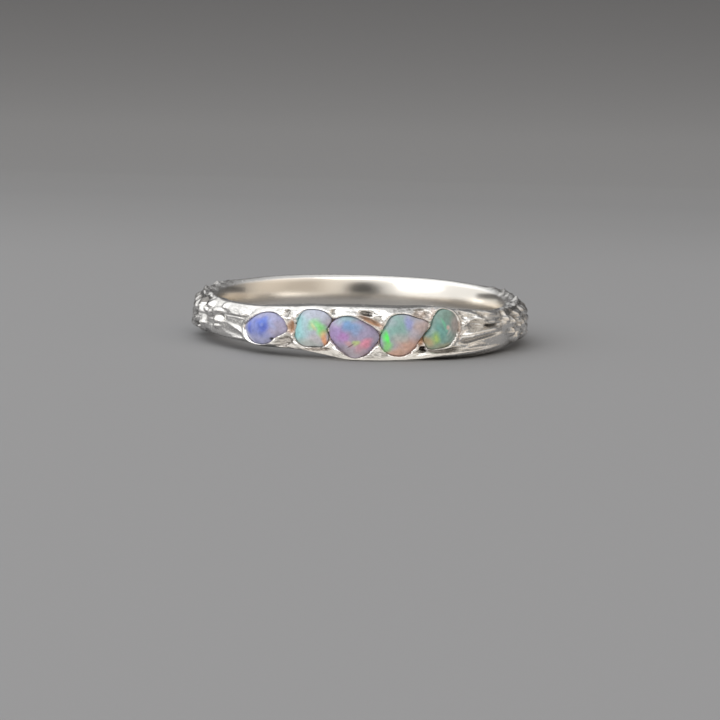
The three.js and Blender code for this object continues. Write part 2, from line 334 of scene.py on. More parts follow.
class Seat:
    """The place of an opal on the unrolled face, read from its solid."""

    def __init__(self, node):
        arc, height, radius = unrolled(read_points(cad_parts[node].data))
        self.back = radius.min()
        self.crown = radius.max()
        tip = radius.argmax()
        self.arc = arc[tip]
        self.height = height[tip]
        rim = np.abs(radius - FACE_RADIUS) < WALL_TOLERANCE
        turn = np.arctan2(height[rim] - self.height, arc[rim] - self.arc)
        reach = np.hypot(height[rim] - self.height, arc[rim] - self.arc)
        order = turn.argsort()
        around = np.interp(OUTLINE_ANGLES, turn[order], reach[order], period=2 * math.pi)
        self.outline = softened(around, OUTLINE_BLUR)
        ends = np.append(OUTLINE_ANGLES[::LINE_STEP], 0)
        self.line = np.stack([
            self.arc + self.reach(ends) * np.cos(ends),
            self.height + self.reach(ends) * np.sin(ends),
        ], axis=-1)
        self.half_length = (arc[rim].max() - arc[rim].min()) / 2
        self.half_height = (height[rim].max() - height[rim].min()) / 2

    def reach(self, turn):
        return np.interp(turn, OUTLINE_ANGLES, self.outline, period=2 * math.pi)

    def gap(self, arc, height):
        """How far points of the face lie from the opal's edge, below 0 inside it."""
        gap = np.full(arc.shape, FAR_GAP)
        near = np.abs(arc[:, 0] - self.arc) < self.half_length * FAR_SHARE + FAR_GAP
        arc, height = arc[near], height[near]
        turn = np.arctan2(height - self.height, arc - self.arc)
        inside = np.hypot(height - self.height, arc - self.arc) < self.reach(turn)
        gap[near] = line_gap(arc, height, self.line)[0] * np.where(inside, -1, 1)
        return np.minimum(gap, FAR_GAP)


def waves(points, table):
    return np.array([sum(rise * noise.noise(Vector(p) / size) for size, rise in table) for p in points])


def outward_and_smooth():
    """Turn the faces of the active piece outwards, and shade it smooth."""
    bpy.ops.object.mode_set(mode="EDIT")
    bpy.ops.mesh.select_all(action="SELECT")
    bpy.ops.mesh.normals_make_consistent(inside=False)
    bpy.ops.object.mode_set(mode="OBJECT")
    bpy.ops.object.shade_smooth()


def opal_piece(name, seat):
    """A ball drawn to the opal's outline: domed face, straight wall and flat back."""
    bpy.ops.object.select_all(action="DESELECT")
    bpy.ops.mesh.primitive_uv_sphere_add(segments=OPAL_SEGMENTS, ring_count=OPAL_RINGS, radius=1)
    piece = bpy.context.object
    piece.name = name + "_stone"
    x, y, z = read_points(piece.data).T
    turn = np.arctan2(y, x)
    down = np.arccos(np.clip(z, -1, 1)) / math.pi
    share = np.interp(down, [0, DOME_END, BACK_START, 1], [0, 1, 1, 0])
    dome = FACE_RADIUS + (seat.crown - FACE_RADIUS) * (1 - share ** DOME_POWER)
    below = np.interp(down, [DOME_END, BACK_START - BEVEL, BACK_START + BEVEL, 1], [0, WALL_DEPTH, 1, 1])
    radius = np.where(down <= DOME_END, dome, FACE_RADIUS + (seat.back - FACE_RADIUS) * below)
    reach = seat.reach(turn) * share
    arc = seat.arc + reach * np.cos(turn)
    height = seat.height + reach * np.sin(turn)
    points = rolled(arc, height, radius)
    lift = waves(points, SURFACE_WAVES) * np.clip(1 - (down / DOME_END) ** WAVE_POWER, 0, 1)
    write_points(piece.data, points + rolled(arc, 0 * arc, 1) * lift[:, None])
    outward_and_smooth()
    return piece


# along and up: the place of a patch in the opal, in half lengths and half heights from its centre.
# wide and tall: its reach in the same shares. lean: degrees. strength: 0 to 1.
OPALS = {
    "opal_left": {
        "slot": "opal_blue",
        "body": (0.27, 0.30, 0.56),
        "patches": [
            # along, up, wide, tall, lean, strength, colour
            (-0.3, 0.0, 0.9, 0.9, 0, 0.6, (0.17, 0.22, 0.58)),
            (-0.95, -0.1, 0.4, 1.1, 0, 0.6, (0.33, 0.35, 0.56)),
            (0.75, 0.0, 0.6, 1.0, 0, 0.85, (0.42, 0.38, 0.50)),
            (0.1, -0.8, 1.2, 0.5, 10, 0.7, (0.40, 0.40, 0.56)),
            (0.2, 0.95, 1.0, 0.3, -8, 0.6, (0.40, 0.40, 0.56)),
            (-0.02, 0.42, 0.34, 0.38, 0, 0.9, (0.08, 0.16, 0.62)),
            (0.06, 0.05, 0.3, 0.4, 30, 0.85, (0.07, 0.12, 0.52)),
            (0.0, 0.26, 0.1, 0.14, 0, 0.6, (0.24, 0.30, 0.66)),
            (-0.6, 0.1, 0.17, 0.5, -12, 0.75, (0.10, 0.15, 0.58)),
            (-0.3, 0.55, 0.2, 0.25, 20, 0.5, (0.16, 0.20, 0.62)),
            (0.4, 0.3, 0.16, 0.45, -25, 0.5, (0.34, 0.40, 0.66)),
            (0.36, -0.62, 0.1, 0.14, 0, 1.0, (0.02, 0.02, 0.03)),
        ],
    },
    "opal_centre_left": {
        "slot": "opal_pale",
        "body": (0.43, 0.46, 0.54),
        "patches": [
            (-0.85, -0.1, 0.5, 1.1, 0, 0.9, (0.26, 0.60, 0.62)),
            (-0.4, 0.1, 0.5, 0.9, 10, 0.6, (0.34, 0.56, 0.60)),
            (0.3, 0.85, 1.0, 0.45, -10, 0.7, (0.42, 0.45, 0.56)),
            (-0.2, -0.8, 1.0, 0.35, 0, 0.7, (0.42, 0.46, 0.42)),
            (0.3, -0.5, 0.5, 0.35, 0, 0.6, (0.52, 0.48, 0.50)),
            (0.14, 0.32, 0.4, 0.34, -40, 0.85, (0.34, 0.70, 0.36)),
            (0.48, 0.0, 0.26, 0.5, -30, 0.95, (0.26, 0.74, 0.26)),
            (0.1, 0.14, 0.11, 0.3, -35, 0.7, (0.66, 0.66, 0.34)),
            (0.6, -0.3, 0.2, 0.3, -15, 0.7, (0.62, 0.62, 0.30)),
            (0.72, -0.62, 0.22, 0.5, -8, 0.95, (0.80, 0.38, 0.20)),
            (0.8, 0.3, 0.22, 0.4, 0, 0.5, (0.50, 0.42, 0.48)),
        ],
    },
    "opal_centre": {
        "slot": "opal_violet",
        "body": (0.33, 0.29, 0.41),
        "patches": [
            (-0.65, 0.2, 0.5, 0.6, 0, 0.9, (0.35, 0.25, 0.50)),
            (-0.4, -0.05, 0.25, 0.35, 0, 0.8, (0.42, 0.20, 0.48)),
            (-0.25, 0.85, 0.6, 0.3, -15, 0.9, (0.28, 0.44, 0.50)),
            (-0.12, 0.52, 0.36, 0.3, 0, 0.85, (0.15, 0.32, 0.58)),
            (0.15, 0.35, 0.3, 0.35, 0, 0.7, (0.24, 0.36, 0.58)),
            (0.6, 0.2, 0.5, 0.35, -25, 0.7, (0.35, 0.31, 0.47)),
            (0.0, -0.75, 0.7, 0.4, 0, 0.85, (0.38, 0.34, 0.38)),
            (0.5, -0.34, 0.24, 0.42, 48, 0.8, (0.74, 0.24, 0.34)),
            (0.3, -0.6, 0.3, 0.3, 0, 0.5, (0.56, 0.32, 0.38)),
            (0.15, -0.3, 0.2, 0.15, -20, 0.8, (0.46, 0.56, 0.18)),
            (-0.16, -0.36, 0.22, 0.16, 30, 0.6, (0.66, 0.36, 0.34)),
            (-0.1, -0.42, 0.035, 0.24, 50, 0.9, (0.14, 0.07, 0.09)),
        ],
    },
    "opal_centre_right": {
        "slot": "opal_pale",
        "body": (0.34, 0.35, 0.42),
        "patches": [
            (-0.35, 0.35, 0.75, 0.85, 0, 0.9, (0.23, 0.42, 0.38)),
            (-0.7, 0.7, 0.4, 0.3, 30, 0.6, (0.40, 0.44, 0.50)),
            (0.2, 0.6, 0.3, 0.45, -10, 0.85, (0.34, 0.37, 0.70)),
            (0.75, 0.35, 0.5, 0.5, 0, 0.85, (0.52, 0.40, 0.38)),
            (0.35, 0.05, 0.4, 0.35, -30, 0.5, (0.50, 0.44, 0.52)),
            (0.3, -0.55, 0.9, 0.5, 30, 0.9, (0.58, 0.34, 0.26)),
            (-0.3, -0.88, 0.6, 0.3, 0, 0.85, (0.60, 0.36, 0.26)),
            (-0.74, -0.2, 0.15, 0.42, -8, 1.0, (0.10, 0.84, 0.12)),
            (-0.7, -0.55, 0.22, 0.3, 0, 0.85, (0.24, 0.64, 0.20)),
            (-0.1, -0.1, 0.4, 0.4, 0, 0.6, (0.36, 0.44, 0.44)),
        ],
    },
    "opal_right": {
        "slot": "opal_green",
        "body": (0.20, 0.33, 0.30),
        "patches": [
            (0.75, 0.25, 0.5, 1.1, 0, 0.9, (0.36, 0.31, 0.30)),
            (0.2, 0.85, 0.7, 0.4, 0, 0.8, (0.18, 0.28, 0.24)),
            (-0.1, -0.1, 0.4, 0.6, -20, 0.85, (0.14, 0.35, 0.32)),
            (0.0, 0.3, 0.1, 0.4, -25, 0.6, (0.16, 0.56, 0.34)),
            (0.5, -0.5, 0.5, 0.5, 0, 0.6, (0.24, 0.35, 0.32)),
            (0.22, 0.14, 0.12, 0.14, 0, 0.85, (0.70, 0.50, 0.46)),
            (0.3, -0.05, 0.07, 0.3, 30, 0.5, (0.50, 0.44, 0.42)),
            (-0.4, -0.44, 0.3, 0.4, -10, 0.75, (0.30, 0.50, 0.15)),
            (-0.42, -0.42, 0.11, 0.24, -20, 0.6, (0.46, 0.62, 0.14)),
            (-0.8, -0.62, 0.4, 0.35, 20, 0.7, (0.50, 0.33, 0.15)),
            (0.1, -0.92, 0.9, 0.28, 0, 0.85, (0.30, 0.32, 0.22)),
        ],
    },
}

# The clouds, and how far they move the patches.
CLOUD_SIZE = 0.8 * MM
CLOUD_DETAIL = 1.5
CLOUD_DRIFT = 0.5
# Patches no wider than this keep their place, and the others drift with the clouds.
SMALL_MARK = 0.12
# A patch fades from this share of its reach to its full strength at the other. It goes right
# through the opal, so it is as good as endless in depth.
PATCH_FADE = (1.25, 0.25)
PATCH_DEPTH = 100
OPAL_DEPTH = 2 * MM
# Fine specks darken the colour to between these shares of it.
SPECK_SIZE = 0.22 * MM
SPECK_DETAIL = 5
SPECK_ROUGHNESS = 0.62
SPECK_SHADES = (0.66, 0.98)
# The middle part of a noise, which seldom reaches 0 or 1.
NOISE_RANGE = (0.3, 0.7)
# Painted glow: the opal gives off a little light in its own colours, though it is no lamp.
PAINTED_INNER_GLOW = 0.12
OPAL_ROUGHNESS = 0.32
OPAL_IOR = 1.45
POLISH = 0.25
POLISH_ROUGHNESS = 0.08


def speckle(tree, place, size, detail, roughness=0.5):
    texture = tree.nodes.new("ShaderNodeTexNoise")
    texture.inputs["Scale"].default_value = 1 / size
    texture.inputs["Detail"].default_value = detail
    texture.inputs["Roughness"].default_value = roughness
    feed(tree, texture.inputs["Vector"], place)
    return texture


def measured_from(tree, place, centre, turn, lengths):
    """A place, measured from a centre along turned axes, in shares of three lengths."""
    spot = tree.nodes.new("ShaderNodeMapping")
    spot.vector_type = "TEXTURE"
    spot.inputs["Location"].default_value = centre
    spot.inputs["Rotation"].default_value = turn
    spot.inputs["Scale"].default_value = lengths
    feed(tree, spot.inputs["Vector"], place)
    return spot.outputs[0]


def opal_material(name, seat, body, patches):
    """Soft clouds of colour, blended over the body colour one after another, under a clear polish, with a
    faint painted glow in the same colours.
    """
    material, tree, surface = new_material(name + "_fire")
    place = object_place(tree)
    clouds = speckle(tree, place, CLOUD_SIZE, CLOUD_DETAIL).outputs["Color"]
    centred = vector_math(tree, "SUBTRACT", clouds, (0.5, 0.5, 0.5))
    drift = vector_math(tree, "SCALE", centred, CLOUD_DRIFT)
    centre = rolled(seat.arc, seat.height, FACE_RADIUS)
    lengths = (seat.half_length, OPAL_DEPTH, seat.half_height)
    own = measured_from(tree, place, centre, (0, 0, seat.arc / FACE_RADIUS), lengths)
    moved = vector_math(tree, "ADD", own, drift)
    colour = (*body, 1)
    for along, up, wide, tall, lean, strength, tint in patches:
        start = moved if wide > SMALL_MARK else own
        lengths = (wide, PATCH_DEPTH, tall)
        spot = measured_from(tree, start, (along, 0, up), (0, math.radians(lean), 0), lengths)
        far = vector_math(tree, "LENGTH", spot)
        fade = graded(tree, far, PATCH_FADE, (0, strength), smooth=True)
        colour = blended(tree, fade, colour, (*tint, 1))
    specks = speckle(tree, place, SPECK_SIZE, SPECK_DETAIL, SPECK_ROUGHNESS).outputs[0]
    speckled = vector_math(tree, "SCALE", colour, graded(tree, specks, NOISE_RANGE, SPECK_SHADES))
    feed(tree, surface.inputs["Base Color"], speckled)
    # Painted glow: the opal's colour is also given off as light.
    feed(tree, surface.inputs["Emission Color"], speckled)
    surface.inputs["Emission Strength"].default_value = PAINTED_INNER_GLOW
    surface.inputs["Roughness"].default_value = OPAL_ROUGHNESS
    surface.inputs["IOR"].default_value = OPAL_IOR
    surface.inputs["Coat Weight"].default_value = POLISH
    surface.inputs["Coat Roughness"].default_value = POLISH_ROUGHNESS
    return material


seats = {name: Seat(name) for name in OPALS}
for name, seat in seats.items():
    opal = opal_piece(name, seat)
    opal.data.materials.append(opal_material(name, seat, OPALS[name]["body"], OPALS[name]["patches"]))
    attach(opal, "root")
    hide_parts(name)

# Band
# One casting of sterling silver: polished inside, smooth at the back and rough on its shoulders.
# The silver is pushed up in lips round the opals, and darkened with painted shade in its hollows, creases,
# dents and gaps.
# The face rounds back by CROWN at its two edges, evenly above and sharply below, and its relief dies
# out there. The hole's wall falls back by HOLE_FLARE, and the rim drops by EDGE_DROP towards it.
CROWN = 0.4 * MM
CROWN_POWERS = (3, 7)
ROW_POWER = 0.9
EDGE_POWER = 10
HOLE_FLARE = 0.2 * MM
EDGE_DROP = 0.17 * MM
HOLE_LIFT = 0.09 * MM
# A section is a closed row of points, as many as BAND_ROWS, and the ring has BAND_COLUMNS of them.
HOLE_ROWS = 12
TOP_ROWS = 12
FACE_ROWS = 88
FOOT_ROWS = 4
BAND_ROWS = HOLE_ROWS + TOP_ROWS + FACE_ROWS + FOOT_ROWS
BAND_COLUMNS = 856
ROUNDINGS = 2
# How the solid's edges are read: how near the hole a true section reaches, and over how many
# columns they are blurred.
SECTION_SLACK = 0.1 * MM
EDGE_BLUR = 4
# How the columns crowd at the front: a share of them all, counted from the front, and the angle
# that they reach on each side.
COLUMN_SHARES = [0, 0.46, 0.74, 0.93, 1]
COLUMN_ANGLES = np.radians([0, 42, 80, 122, 180])
# The next tables give a value by the angle from the front, in degrees. RIM_WEAR and LIP_SHARES
# count the left side below 0, and the others hold for both sides.
# How many mm the rim's outer edge is worn down. It stays higher beside opals that reach up to it.
RIM_WEAR = [
    (-56, 0), (-34, 0.12), (-20, 0.15), (-14, 0.07), (-7, 0.14), (16, 0.15),
    (22, 0.08), (27, 0.02), (32, 0.08), (36, 0.12), (56, 0),
]
# Where the inner edge is lifted by HOLE_LIFT, so that the rim's top shows.
LIFT_SHARES = [(34, 1), (56, 0)]
# How many mm the rim is rounded up in its middle.
RIM_ROUNDING = [(30, 0), (90, 0.11)]
# How much narrower the lips are to the right of the last opal.
LIP_SHARES = [(28, 1), (32, 0.6)]
# Where the shoulders are covered with nuggets.
SHOULDERS = [(54, 0), (66, 1), (100, 1), (120, 0)]
# How much of the casting's skin shows.
SKIN_SHARES = [(26, 0.9), (35, 0.25), (53, 0.25), (62, 0.3), (90, 0.35), (110, 0.5), (140, 0.12)]


def at_angle(angle, table):
    return np.interp(np.degrees(angle), *np.array(table).T)


def edge_profile():
    """The edges of the solid band at each of its true sections: angle in degrees, height and radius
    of the face's upper edge, height of the foot, radius of the hole."""
    arc, height, radius = unrolled(read_points(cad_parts["band"].data))
    key = np.round(np.degrees(arc / FACE_RADIUS), 2)
    rows = []
    for angle in np.unique(key):
        at = key == angle
        if radius[at].min() > radius.min() + SECTION_SLACK:
            continue
        top = height[at].argmax()
        rows.append((angle, height[at][top], radius[at][top], height[at].min(), radius[at].min()))
    return dict(zip(("angle", "top", "face", "foot", "hole"), np.array(rows).T))


edges = edge_profile()
HOLE_RADIUS = edges["hole"].min()
HOLE_EDGE = HOLE_RADIUS + HOLE_FLARE


def around(label, angle):
    values = np.interp(np.degrees(angle), edges["angle"], edges[label], period=360)
    return softened(values, EDGE_BLUR)


def band_edges():
    """For each column its angle, the heights of the foot and of the rim's inner and outer edge, and
    the radius of the outer edge."""
    halves = np.arange(BAND_COLUMNS) / BAND_COLUMNS * 2
    halves = np.where(halves > 1, halves - 2, halves)
    angle = np.sign(halves) * np.interp(np.abs(halves), COLUMN_SHARES, COLUMN_ANGLES)
    foot = np.maximum(around("foot", angle), 0)
    hole_top = around("top", angle) - EDGE_DROP + HOLE_LIFT * at_angle(np.abs(angle), LIFT_SHARES)
    top = around("top", angle) - at_angle(angle, RIM_WEAR) * MM
    return angle, foot, hole_top, top, around("face", angle)


def hole_rows(foot, hole_top):
    """The wall of the finger hole, which falls back towards its two edges: radius and height."""
    lift = np.linspace(0, 1, HOLE_ROWS)[None, :]
    radius = np.repeat(HOLE_RADIUS + HOLE_FLARE * (2 * lift - 1) ** 2, BAND_COLUMNS, axis=0)
    return radius, foot[:, None] + lift * (hole_top - foot)[:, None]


def face_rows(foot, top, edge):
    """The plain curve of the face: radius and height, and how freely relief can rise at each row."""
    bend = np.linspace(1, -1, FACE_ROWS)[None, :]
    tall = (top - foot)[:, None]
    height = foot[:, None] + tall * (0.5 + 0.5 * np.sign(bend) * np.abs(bend) ** ROW_POWER)
    radius = (edge + CROWN)[:, None] - CROWN * np.abs(bend) ** np.where(bend > 0, *CROWN_POWERS)
    return radius, height, 1 - np.abs(bend) ** EDGE_POWER


def foot_rows(foot, edge):
    """The flat underside, from the face back in to the hole: radius and height."""
    share = np.linspace(1, 0, FOOT_ROWS + 2)[None, 1:-1]
    return HOLE_EDGE + share * (edge[:, None] - HOLE_EDGE), np.repeat(foot[:, None], FOOT_ROWS, axis=1)


# Bumps (rise above 0) and dents (below 0) of the face. angle: degrees from the front. up: height
# in mm. along and across: half lengths in mm. lean: degrees. rise: mm. edge: 0 soft to 1 crisp.
RELIEF = [
    # angle, up, along, across, lean, rise, edge
    (-43.0, 2.26, 1.20, 0.46, -6, 0.12, 0.6),
    (-44.0, 1.02, 1.30, 0.30, -8, -0.06, 0.0),
    (-64.7, 2.18, 0.26, 0.24, -30, -0.24, 0.3),
    (-50.4, 1.78, 0.20, 0.28, 20, -0.26, 0.3),
    (-61.7, 1.64, 0.34, 0.26, 0, -0.20, 0.2),
    (-52.2, 2.48, 0.14, 0.22, 0, -0.20, 0.3),
    (-23.1, 2.44, 0.17, 0.26, 10, -0.28, 0.7),
    (-20.2, 2.52, 0.26, 0.42, 0, 0.16, 0.6),
    (-21.0, 1.70, 0.26, 0.46, 0, -0.14, 0.5),
    (-23.4, 0.88, 0.62, 0.30, 28, -0.18, 0.7),
    (-8.1, 2.66, 0.15, 0.20, 0, -0.24, 0.7),
    (-7.5, 2.32, 0.09, 0.10, 0, -0.20, 0.5),
    (2.0, 2.62, 0.50, 0.15, -6, -0.30, 0.7),
    (5.6, 2.26, 0.42, 0.22, -40, -0.16, 0.4),
    (6.2, 0.30, 0.26, 0.16, -10, 0.12, 0.6),
    (8.2, 0.40, 0.36, 0.14, 0, -0.12, 0.4),
    (19.6, 2.62, 0.62, 0.24, -6, -0.14, 0.8),
    (20.2, 0.73, 0.28, 0.15, -10, -0.42, 0.6),
    (34.1, 2.58, 0.11, 0.13, 0, -0.20, 0.6),
    (35.0, 2.33, 0.11, 0.13, 20, -0.22, 0.6),
    (34.7, 2.10, 0.09, 0.11, 0, -0.20, 0.6),
    (39.0, 1.90, 0.80, 0.30, -6, -0.17, 0.3),
    (40.0, 2.62, 0.16, 0.12, 0, -0.14, 0.5),
    (42.6, 2.48, 0.16, 0.20, 20, -0.24, 0.5),
    (44.0, 2.36, 0.10, 0.16, 30, -0.22, 0.5),
    (49.0, 2.50, 0.66, 0.18, -6, 0.16, 0.8),
    (55.9, 2.30, 0.20, 0.26, 0, -0.26, 0.4),
    (54.4, 1.95, 0.18, 0.20, 0, -0.22, 0.4),
    (63.4, 2.12, 0.20, 0.18, 0, -0.24, 0.4),
]
# Single nuggets near the opals, round caps of melted silver. size: half width in mm.
NUGGETS = [
    # angle, up, size, rise
    (-49.9, 2.50, 0.24, 0.24),
    (-52.4, 2.18, 0.20, 0.20),
    (-54.6, 2.06, 0.30, 0.26),
    (-53.4, 1.60, 0.24, 0.26),
    (-53.8, 1.24, 0.20, 0.20),
    (-58.8, 2.43, 0.27, 0.24),
    (-57.4, 1.94, 0.24, 0.22),
    (-61.0, 2.06, 0.22, 0.20),
    (-68.3, 2.47, 0.40, 0.34),
    (-68.9, 1.22, 0.40, 0.30),
    (-63.5, 1.20, 0.22, 0.18),
    (57.6, 2.00, 0.20, 0.16),
    (60.8, 1.90, 0.28, 0.24),
    (60.4, 1.20, 0.25, 0.22),
    (57.8, 2.56, 0.22, 0.18),
    (64.8, 2.62, 0.32, 0.26),
    (66.0, 1.60, 0.26, 0.22),
]
# Ridges and grooves, each along a path of places on the face: angle and height at each place.
# wide: half width in mm. rise: mm. edge: 0 soft to 1 crisp. dark: painted shade in it, 0 to 1.
RIDGES = [
    # path, wide, rise, edge, dark
    ([(-48.5, 1.56), (-42.8, 1.30), (-40.0, 1.06), (-36.5, 0.62), (-31.0, 0.42)], 0.16, 0.12, 0.3, 0),
    ([(-49.0, 1.96), (-44.0, 2.00), (-39.4, 1.98), (-36.4, 2.30), (-34.6, 2.66)], 0.07, -0.09, 0.3, 0.45),
    ([(-60.5, 0.54), (-49.0, 0.64), (-42.8, 0.72), (-38.8, 0.72)], 0.14, 0.07, 0.0, 0),
    ([(-28.4, 0.78), (-24.8, 1.24), (-21.4, 1.46)], 0.08, 0.13, 0.2, 0),
    ([(-8.9, 0.62), (-6.0, 0.50), (-2.4, 0.10)], 0.22, 0.14, 0.7, 0),
    ([(1.2, 0.32), (2.8, 0.58)], 0.05, -0.14, 0.4, 1.0),
    ([(-1.0, 2.50), (1.0, 2.42), (3.8, 2.26), (6.8, 1.86)], 0.10, -0.14, 0.3, 0.65),
    ([(32.8, 2.55), (33.3, 2.05), (33.1, 1.50), (32.2, 1.05)], 0.06, -0.14, 0.3, 0.6),
    ([(-3.6, 2.78), (0.0, 2.88), (5.0, 2.86), (9.0, 2.80)], 0.10, 0.07, 0.3, 0),
    ([(15.0, 2.80), (19.0, 2.90), (22.4, 2.94)], 0.07, 0.06, 0.3, 0),
    ([(33.1, 1.70), (35.4, 2.10), (38.5, 2.28), (41.2, 2.17), (43.6, 1.88)], 0.12, 0.32, 0.4, 0),
    ([(32.8, 2.74), (36.8, 2.66), (40.6, 2.34), (44.2, 2.04), (48.0, 2.02), (53.0, 2.10)],
     0.18, 0.34, 0.5, 0),
    ([(43.3, 1.86), (47.4, 1.76), (53.0, 1.84)], 0.07, -0.20, 0.4, 0.9),
    ([(33.2, 1.26), (37.2, 1.38), (41.0, 1.44), (46.8, 1.50), (54.0, 1.54)], 0.28, 0.36, 0.5, 0),
    ([(34.0, 1.60), (37.6, 1.72), (42.0, 1.78)], 0.05, -0.06, 0.2, 0.3),
    ([(32.8, 0.98), (36.8, 1.02), (42.1, 1.16), (48.2, 1.28), (55.0, 1.36)], 0.15, -0.22, 0.4, 0.35),
    ([(36.0, 0.60), (39.5, 0.75), (42.2, 0.77), (45.4, 0.64)], 0.06, 0.12, 0.2, 0),
    ([(9.0, 0.14), (16.0, 0.18), (24.0, 0.26), (29.2, 0.30), (34.4, 0.36), (41.0, 0.40), (55.0, 0.56)],
     0.2, 0.22, 0.5, 0),
    ([(14.6, 0.50), (20.5, 0.60), (24.0, 0.56), (31.0, 0.60), (36.0, 0.68)], 0.14, -0.20, 0.3, 0.8),
    ([(-33.0, 0.40), (-26.0, 0.34), (-18.0, 0.30), (-8.0, 0.14)], 0.1, -0.08, 0.2, 0.35),
    ([(-36.0, 2.90), (-20.0, 2.97), (0.0, 3.0), (14.0, 2.99), (30.0, 2.98)], 0.05, -0.07, 0.3, 0.6),
]
# Rough patches, where the casting was left sandy: the same place and size columns, then the
# height of the grains and how much painted shade lies between them.
ROUGH_PATCHES = [
    # angle, up, along, across, lean, grain, dark
    (-23.1, 2.44, 0.18, 0.28, 10, 0.05, 0.5),
    (-23.6, 0.90, 0.90, 0.46, 28, 0.09, 0.6),
    (-8.1, 2.66, 0.16, 0.20, 0, 0.05, 0.6),
    (2.4, 2.60, 0.55, 0.17, -8, 0.05, 0.8),
    (5.4, 2.34, 0.60, 0.36, -30, 0.06, 0.35),
    (19.4, 2.62, 0.80, 0.30, -8, 0.09, 0.5),
    (5.5, 0.38, 0.85, 0.28, 4, 0.06, 0.6),
    (-40.5, 2.30, 1.10, 0.40, -6, 0.03, 0.3),
    (-4.6, 0.42, 0.60, 0.22, 30, 0.04, 0.4),
    (12.0, 2.80, 0.50, 0.12, 0, 0.04, 0.4),
    (18.0, 2.86, 0.75, 0.09, 2, 0.05, 0.8),
    (-1.5, 2.72, 0.30, 0.10, 0, 0.05, 0.5),
    (-30.5, 0.50, 0.90, 0.14, 6, 0.04, 0.5),
    (27.0, 0.62, 1.10, 0.14, 0, 0.04, 0.5),
    (20.2, 0.73, 0.26, 0.14, -10, 0.03, 1.0),
    (34.6, 2.30, 0.20, 0.46, 6, 0.04, 0.2),
    (42.4, 2.52, 0.44, 0.22, -10, 0.05, 0.4),
    (-12.6, 0.62, 1.00, 0.17, 4, 0.05, 0.9),
    (-56.0, 2.00, 0.80, 0.60, 0, 0.03, 0.1),
]
# Warm grout and firestain beside and between the opals: place and size again, then its strength.
STAINS = [
    # angle, up, along, across, lean, strength
    (-21.2, 1.74, 0.30, 0.52, 0, 1.0),
    (3.6, 2.22, 0.95, 0.19, -24, 1.0),
    (19.6, 1.30, 0.26, 0.70, -28, 1.0),
    (6.6, 1.95, 0.20, 0.36, 0, 0.5),
    (19.0, 2.55, 0.66, 0.30, 0, 0.4),
    (-23.4, 0.85, 0.80, 0.40, 28, 0.15),
    (-12.6, 0.60, 1.00, 0.16, 4, 0.35),
    (33.0, 1.60, 0.12, 0.80, 0, 0.4),
    (22.6, 2.60, 0.14, 0.60, -30, 0.4),
]
# Lips, seats and seams: a lip's crest lies LIP_CREST from the opal, and a seat's wall falls to its
# floor within SEAT_SLOPE. Where two opals almost touch, the silver between them is sunk in a seam,
# which gets painted shade and a stain.
LIP_CREST = 0.09 * MM
LIP_RISE = 0.16 * MM
LIP_WIDTH = 0.34 * MM
LIP_UNEVENNESS = 0.22 * MM
SEAT_SLOPE = 0.08 * MM
SEAT_FLOOR = -0.75 * MM
SEAM_WIDTH = 0.4 * MM
SEAM_DEPTH = 0.3 * MM
SEAM_PAINTED_SHADE = 0.4
SEAM_STAIN = 0.9
# The line of painted shade and brown dirt at an opal's edge.
LINE_PLACE = 0.01 * MM
LINE_WIDTH = 0.045 * MM
LINE_PAINTED_SHADE = 0.55
LINE_STAIN = 0.7
# How far a stain holds the lips down, and how sharply it ends.
STAIN_HOLD = 0.75
STAIN_EDGE = 0.6
# Painted shade in a dent for each mm of its depth.
DENT_PAINTED_SHADE = 2.2
# The grains of the rough patches, and how much painted shade lies between them.
PATCH_EDGE = 0.8
GRAIN_GAP = 0.7
GRAIN_CONTRAST = 2.2
# The flat share of a form whose edge is 1.
STEEPEST_BELL = 0.75
# Ridges: steps between two places of a path, and how fast and how far both ends thin out.
PATH_STEPS = 8
RIDGE_TAPER = 4.5
THINNEST_END = 0.05
# Nuggets: the single ones have a line of painted shade at NUGGET_LINE above the face. The scattered
# ones lie in a bed sunk in the shoulder, which gets painted shade where none stands HOLLOW_DEPTH above it.
NUGGET_LINE = 0.05 * MM
NUGGET_LINE_WIDTH = 0.06 * MM
NUGGET_LINE_PAINTED_SHADE = 0.6
NUGGET_SEED = 11
NUGGETS_A_SIDE = 120
NUGGET_ANGLES = (56, 122)
NUGGET_SIZES = (0.16 * MM, 0.42 * MM)
NUGGET_LEVELS = (0.06, 0.94)
NUGGET_BED = 0.18 * MM
HOLLOW_DEPTH = 0.13 * MM
HOLLOW_PAINTED_SHADE = 0.8
# The nuggets that run up on to the rim.
COBBLE_RISE = 0.5 * MM
# Random forms: their size, and the level that they are cut at in the noise.
LIP_HILLS = (0.9 * MM, 3)
GRAINS = (0.08 * MM, 7)
LINE_PATCHES = (0.7 * MM, 13)
COBBLES = (0.34 * MM, 31)
SKIN_PATCHES = (0.8 * MM, 90)
# The skin of the casting: soft waves first, then wrinkles with sharp bottoms. Each layer has its
# size and rise in mm, and its level in the noise. The skin starts within SKIN_START of an opal.
SKIN_WAVES = [(1.0, 0.05, 20), (0.45, 0.03, 27)]
SKIN_WRINKLES = [(0.5, 0.05, 50), (0.24, 0.045, 57), (0.12, 0.03, 64)]
SKIN_START = 0.08 * MM
SMOOTHEST_SKIN = 0.35
FOLD_STEEPNESS = 2.5
# The sharp creases of the wrinkles get painted shade.
CREASE_WIDTH = 0.05
CREASE_PAINTED_SHADE = 0.65


def spread(arc, height, angle, up, along, across, lean):
    """How far points lie from a place on the face, in shares of that place's own size."""
    tilt = math.radians(lean)
    dx = arc - math.radians(angle) * FACE_RADIUS
    dz = height - up * MM
    main = (dx * math.cos(tilt) + dz * math.sin(tilt)) / (along * MM)
    side = (dz * math.cos(tilt) - dx * math.sin(tilt)) / (across * MM)
    return np.hypot(main, side)


def eased(share):
    return share * share * (3 - 2 * share)


